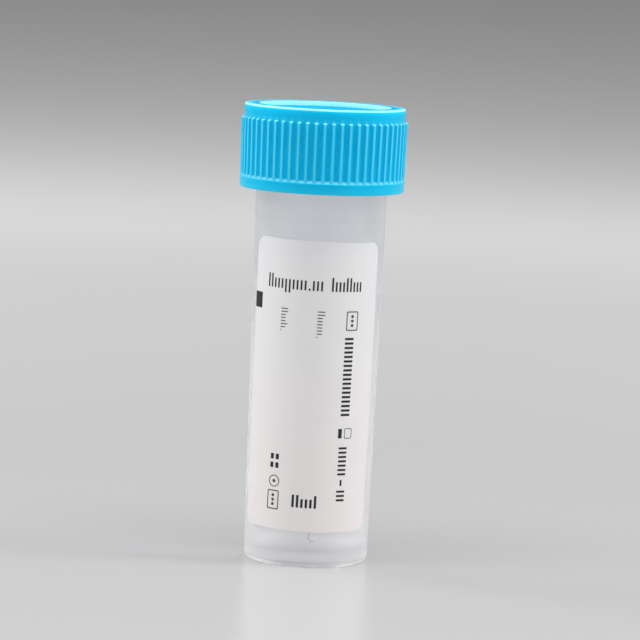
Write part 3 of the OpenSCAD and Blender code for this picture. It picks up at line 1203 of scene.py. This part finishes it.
# %% [markdown]
# ## The print
#
# The real label carries words, numbers and signs. Here their places hold plain marks that say
# nothing: separate upright bars, dots and empty frames, with the weight and the rhythm of the
# lines that they stand for. A row is written as a short pattern, where `|` is a tall bar, `,`
# a low one, `;` a low one that hangs under the line, `.` a square dot, `-` a short dash and a
# space is a gap. No mark touches the next, so a row reads as a row of bars and nothing more.
# Ink is thin, and each mark stands only a few hundredths of a millimetre over the paper.


# %% Marks in rows
INK_LOW = PAPER_FACE - 0.004
INK_HIGH = PAPER_FACE + 0.014
BARS = {"|": (0.0, 1.0), ",": (0.0, 0.7), ";": (-0.26, 0.7)}


def mark_box(sign, stroke):
    """Box of one mark in a cell one unit tall, as (left, right, bottom, top)."""
    if sign == ".":
        return (0, stroke * 1.1, 0, stroke * 1.1)
    if sign == "-":
        return (-stroke, stroke * 2, 0.36, 0.36 + stroke)
    return (0, stroke, *BARS[sign])


def print_row(bm, pattern, start, length, size, stroke, down=False):
    """Draw a row of marks from start (x, z). A row that runs down has its tops to the right."""
    x, z = start
    advance = length / len(pattern)
    for k, sign in enumerate(pattern):
        if sign == " ":
            continue
        left, right, bottom, top = (size * side for side in mark_box(sign, stroke / size))
        a, b = k * advance + left, k * advance + right
        box = (x + bottom, x + top, z - b, z - a) if down else (x + a, x + b, z + bottom, z + top)
        fill(bm, rounded_box(*box, stroke * 0.2, 2))


def print_frame(bm, x0, x1, z0, z1, line, corner):
    """Draw an empty frame with round corners."""
    inner = (x0 + line, x1 - line, z0 + line, z1 - line)
    fill(bm, rounded_box(x0, x1, z0, z1, corner), rounded_box(*inner, corner - line / 2))


print("helpers: mark_box, print_row, print_frame")


# %% Ink
def ink(name, shade):
    """Black thermal ink, or something as fine, a little uneven."""
    material, tree, shader = new_material(name, 0.5, IOR=1.45, Specular_IOR_Level=0.3)
    colour = (*shade, 1.0)
    finish(tree, shader, colour, clouds=0.6, specks=0.06, amount=0.18, grain=0.08, strength=0.2)
    return material


def bold_print():
    """Heading, long rows and short group: the dark marks."""
    bm = bmesh.new()
    print_row(bm, "||,,,;;,,,,.,,,", (-6.95, 35.3), 7.8, 1.75, 0.23)
    print_row(bm, "|,,,||,,,", (1.7, 35.3), 4.4, 1.75, 0.23)
    print_row(bm, "||||||||||||||||||", (3.85, 29.5), 10.2, 1.25, 0.28, down=True)
    print_row(bm, "||||||| - |||", (3.85, 15.6), 7.2, 1.15, 0.26, down=True)
    print_row(bm, "||,,,|", (-1.85, 7.75), 3.4, 1.6, 0.3)
    fill(bm, rounded_box(3.65, 4.15, 16.75, 17.95, 0.05))
    for x in (-5.1, -4.35):
        for z in (12.5, 13.6):
            fill(bm, rounded_box(x, x + 0.45, z, z + 0.7, 0.1))
    fill(bm, rounded_box(LABEL_LEFT + 0.02, -8.1, 32.4, 34.4, 0.03))
    dense = ink("dense_ink", (0.022, 0.026, 0.027))
    return pressed("bold_print", tilted(bm), INK_LOW, INK_HIGH, dense)


def fine_print():
    """Field names, frames and signs: the thin grey marks."""
    bm = bmesh.new()
    print_row(bm, "||,,,|,.", (-4.7, 32.85), 3.1, 0.95, 0.12, down=True)
    print_row(bm, "||,,,,,,.", (0.1, 32.75), 3.6, 0.95, 0.12, down=True)
    print_frame(bm, 3.9, 5.6, 30.4, 32.85, 0.13, 0.18)
    print_frame(bm, -5.3, -3.65, 7.2, 9.65, 0.13, 0.18)
    print_frame(bm, 4.5, 5.6, 16.7, 18.0, 0.08, 0.2)
    for x, z in ((4.75, 32.2), (-4.48, 9.0)):
        for down in (0, 0.57, 1.14):
            fill(bm, disc(x, z - down, 0.2, 16))
    fill(bm, disc(-4.43, 10.82, 0.76), disc(-4.43, 10.82, 0.65))
    fill(bm, disc(-4.43, 10.82, 0.22, 16))
    thin = ink("thin_ink", (0.075, 0.08, 0.08))
    return pressed("fine_print", tilted(bm), INK_LOW, INK_HIGH, thin)


prints = [smoothed(bold_print(), 50), smoothed(fine_print(), 50)]

# %% [markdown]
# ## Dust and a scuff
#
# The tube isn't spotless. A short curled hair clings to it under the label, a faint scuff runs
# beside the label, and four specks of dust sit in the grooves of the cap. Each is tiny, but
# such things tell the eye how large the object is. The hair and the scuff are drawn flat and
# wrapped like the print. A speck is a tiny ball whose points chance pushes in and out.

# %% A hair and a scuff
HAIR = (
    (0.5, 4.62), (0.32, 4.36), (0.26, 4.1), (0.33, 3.86), (0.5, 3.68), (0.75, 3.54), (1.02, 3.45),
)
SCUFF = ((9.9, 34.42), (10.4, 34.36), (11.05, 34.38))
HAIR_W = 0.045
SCUFF_W = 0.07
SKIN_LOW = -0.002


def strand(bm, path, width):
    """A flat strand of even width along a path of (x, z)."""
    for (x0, z0), (x1, z1) in zip(path, path[1:]):
        along = Vector((x1 - x0, z1 - z0)).normalized() * width / 2
        side = Vector((-along.y, along.x))
        ends = [Vector((x0, z0)) - along * 0.5, Vector((x1, z1)) + along * 0.5]
        corners = [ends[0] - side, ends[1] - side, ends[1] + side, ends[0] + side]
        bm.faces.new([bm.verts.new((c.x, 0, c.y)) for c in corners])


bm = bmesh.new()
strand(bm, HAIR, HAIR_W)
hair = pressed("hair", bm, SKIN_LOW, 0.03, ink("lint", (0.27, 0.27, 0.28)))
bm = bmesh.new()
strand(bm, SCUFF, SCUFF_W)
scuff = pressed("scuff", bm, SKIN_LOW, 0.006, ink("scuffed_skin", (0.42, 0.44, 0.46)))
print("hair and scuff:", len(hair.data.polygons) + len(scuff.data.polygons), "faces")

# %% Specks on the cap
PINK = (0.5, 0.12, 0.3)
DARK = (0.01, 0.05, 0.1)
SPECKS = (
    ("speck_0", -15.0, 52.2, 0.055, PINK),
    ("speck_1", -13.1, 51.9, 0.05, PINK),
    ("speck_2", -39.0, 51.4, 0.06, DARK),
    ("speck_3", -24.5, 50.0, 0.05, DARK),
)


def speck(name, turn, z, size, shade, dice):
    """An uneven grain of dust on the cap's wall, at an angle from the front."""
    off_groove = (turn - 90 - CAP_TURN) % (360 / RIBS) - 180 / RIBS
    bm = bmesh.new()
    bmesh.ops.create_icosphere(bm, subdivisions=2, radius=size)
    for vert in bm.verts:
        vert.co *= dice.uniform(0.75, 1.1)
    bmesh.ops.translate(bm, vec=polar(wall_r(off_groove, z), turn - 90, z), verts=bm.verts)
    grain = from_bmesh(name, bm)
    grain.data.materials.append(ink(name + "_dust", shade))
    return smoothed(grain, 80)


dice = random.Random(7)
specks = [speck(*one, dice) for one in SPECKS]

# %% [markdown]
# ## Who rides on what
#
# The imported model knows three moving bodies: the tube, the seal ring and the cap. Each piece
# made here is tied to the body that carries it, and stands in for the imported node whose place
# it takes. Unscrewing the cap then carries its ribs, its teeth and its dust along.

# %% Ride and replace
for piece, body, slot, node in (
    (tube, "tube", "tube", "tube_body"),
    (cap, "cap", "cap", "screw_cap"),
    (label, "tube", "label", "label"),
):
    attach(piece, body)
    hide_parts(node)
for piece in prints:
    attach(piece, "tube")
for piece in (hair, scuff):
    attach(piece, "tube")
for piece in specks:
    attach(piece, "cap")

# %% [markdown]
# ## The floor
#
# The tube stands on a broad pale sheet that grows darker in the distance. Its colour depends
# only on how far a place lies from a point near the object, so the scene looks alike from all
# sides. That colour is painted light: its tones stand in for how the light falls across the
# sheet. The sheet is lit like everything else and keeps the soft shadows of the tube. A slight
# sheen lets it mirror the tube faintly in front of its foot.

# %% Floor
FLOOR_REACH = 6.0
COOL_TO = 0.4
COOL_TINT = 1.015
# Painted light: tone of the sheet by distance in metres from the object.
FLOOR_LIGHT_TONES = (
    (0.0, 0.467), (0.1, 0.482), (0.2, 0.541), (0.3, 0.599), (0.38, 0.680), (0.45, 0.767),
    (0.52, 0.783), (0.6, 0.762), (0.7, 0.714), (0.85, 0.660), (1.05, 0.621), (1.35, 0.591),
    (1.8, 0.546), (2.5, 0.499), (3.5, 0.464), (FLOOR_REACH, 0.449),
)


def floor_material():
    """Sheet with a faint sheen, paler near the object, with painted light in its tone."""
    material, tree, shader = new_material("backdrop", 0.27, Specular_IOR_Level=0.15)
    where = place(tree, "ShaderNodeTexCoord").outputs["Object"]
    far = place(tree, "ShaderNodeVectorMath", {0: where}, operation="LENGTH").outputs["Value"]
    stops = [
        (far_off / FLOOR_REACH, (tone, tone, tone * (COOL_TINT if far_off < COOL_TO else 1.0), 1.0))
        for far_off, tone in FLOOR_LIGHT_TONES
    ]
    colour = ramp_of(tree, math_node(tree, "DIVIDE", far, FLOOR_REACH), stops)
    inputs = {"Colour": colour, "Amount": 0.004, "Cloud size": 0.02}
    mottle = place(tree, "ShaderNodeGroup", inputs, node_tree=MOTTLE)
    tree.links.new(mottle.outputs["Colour"], shader.inputs["Base Color"])
    return material


bm = bmesh.new()
bmesh.ops.create_circle(bm, cap_ends=True, segments=96, radius=FLOOR_REACH / MM)
floor = from_bmesh("floor", bm)
floor.data.materials.append(floor_material())
print(f"floor: {2 * FLOOR_REACH:.0f} m across")

# %% [markdown]
# ## The light
#
# Small plastic parts are lit softly. A wide soft box stands at the left, a little to the front,
# and brightens that flank of the label and the cap. Two narrow ones stand at the left towards
# the back and at the right. They light the flanks too, and each lays a soft narrow shadow on
# the floor at the tube's other side. They stand high enough for the floor's sheen not to mirror
# them. A fourth box hangs overhead and lights the cap's top, and the bright line along the
# cap's rim is partly its reflection and partly a painted highlight. The world gives an even
# grey fill, and what the camera sees of it beyond the floor is the floor's far tone.

# %% Lamps and world
LAMPS = (
    ("left_box", (-0.74, -0.12, 0.48), (0.5, 0.5), 1.7),
    ("left_back_box", (-0.7, 0.27, 0.5), (0.25, 0.5), 1.8),
    ("right_box", (0.74, -0.05, 0.48), (0.25, 0.5), 3.1),
    ("top_box", (0.0, -0.22, 0.85), (1.1, 0.35), 5.0),
)
AIM_POINT = Vector((0, 0, 0.03))
FAR_TONE = 0.22
FILL = 0.62

for name, place_at, size, watts in LAMPS:
    lamp = bpy.data.lights.new(name, "AREA")
    lamp.shape = "RECTANGLE"
    lamp.size, lamp.size_y = size
    lamp.energy = watts
    box = bpy.data.objects.new(name, lamp)
    box.visible_camera = False
    away = Vector(place_at) - AIM_POINT
    turn = away.to_track_quat("Z", "Y").to_matrix().to_4x4()
    box.matrix_world = Matrix.Translation(place_at) @ turn
    bpy.context.scene.collection.objects.link(box)
    print(f"{name}: {watts} W at {away.length:.2f} m")

world = bpy.data.worlds.new("world")
world.use_nodes = True
bpy.context.scene.world = world
sky = world.node_tree
rays = place(sky, "ShaderNodeLightPath").outputs
seen = math_node(sky, "MAXIMUM", rays["Is Camera Ray"], rays["Is Glossy Ray"])
seen = math_node(sky, "MAXIMUM", seen, rays["Is Transmission Ray"])
tone = mixed(sky, seen, (FILL, FILL, FILL, 1.0), (FAR_TONE, FAR_TONE, FAR_TONE, 1.0))
sky.links.new(tone, sky.nodes["Background"].inputs["Color"])
print(f"world: fill {FILL}, far tone {FAR_TONE}")
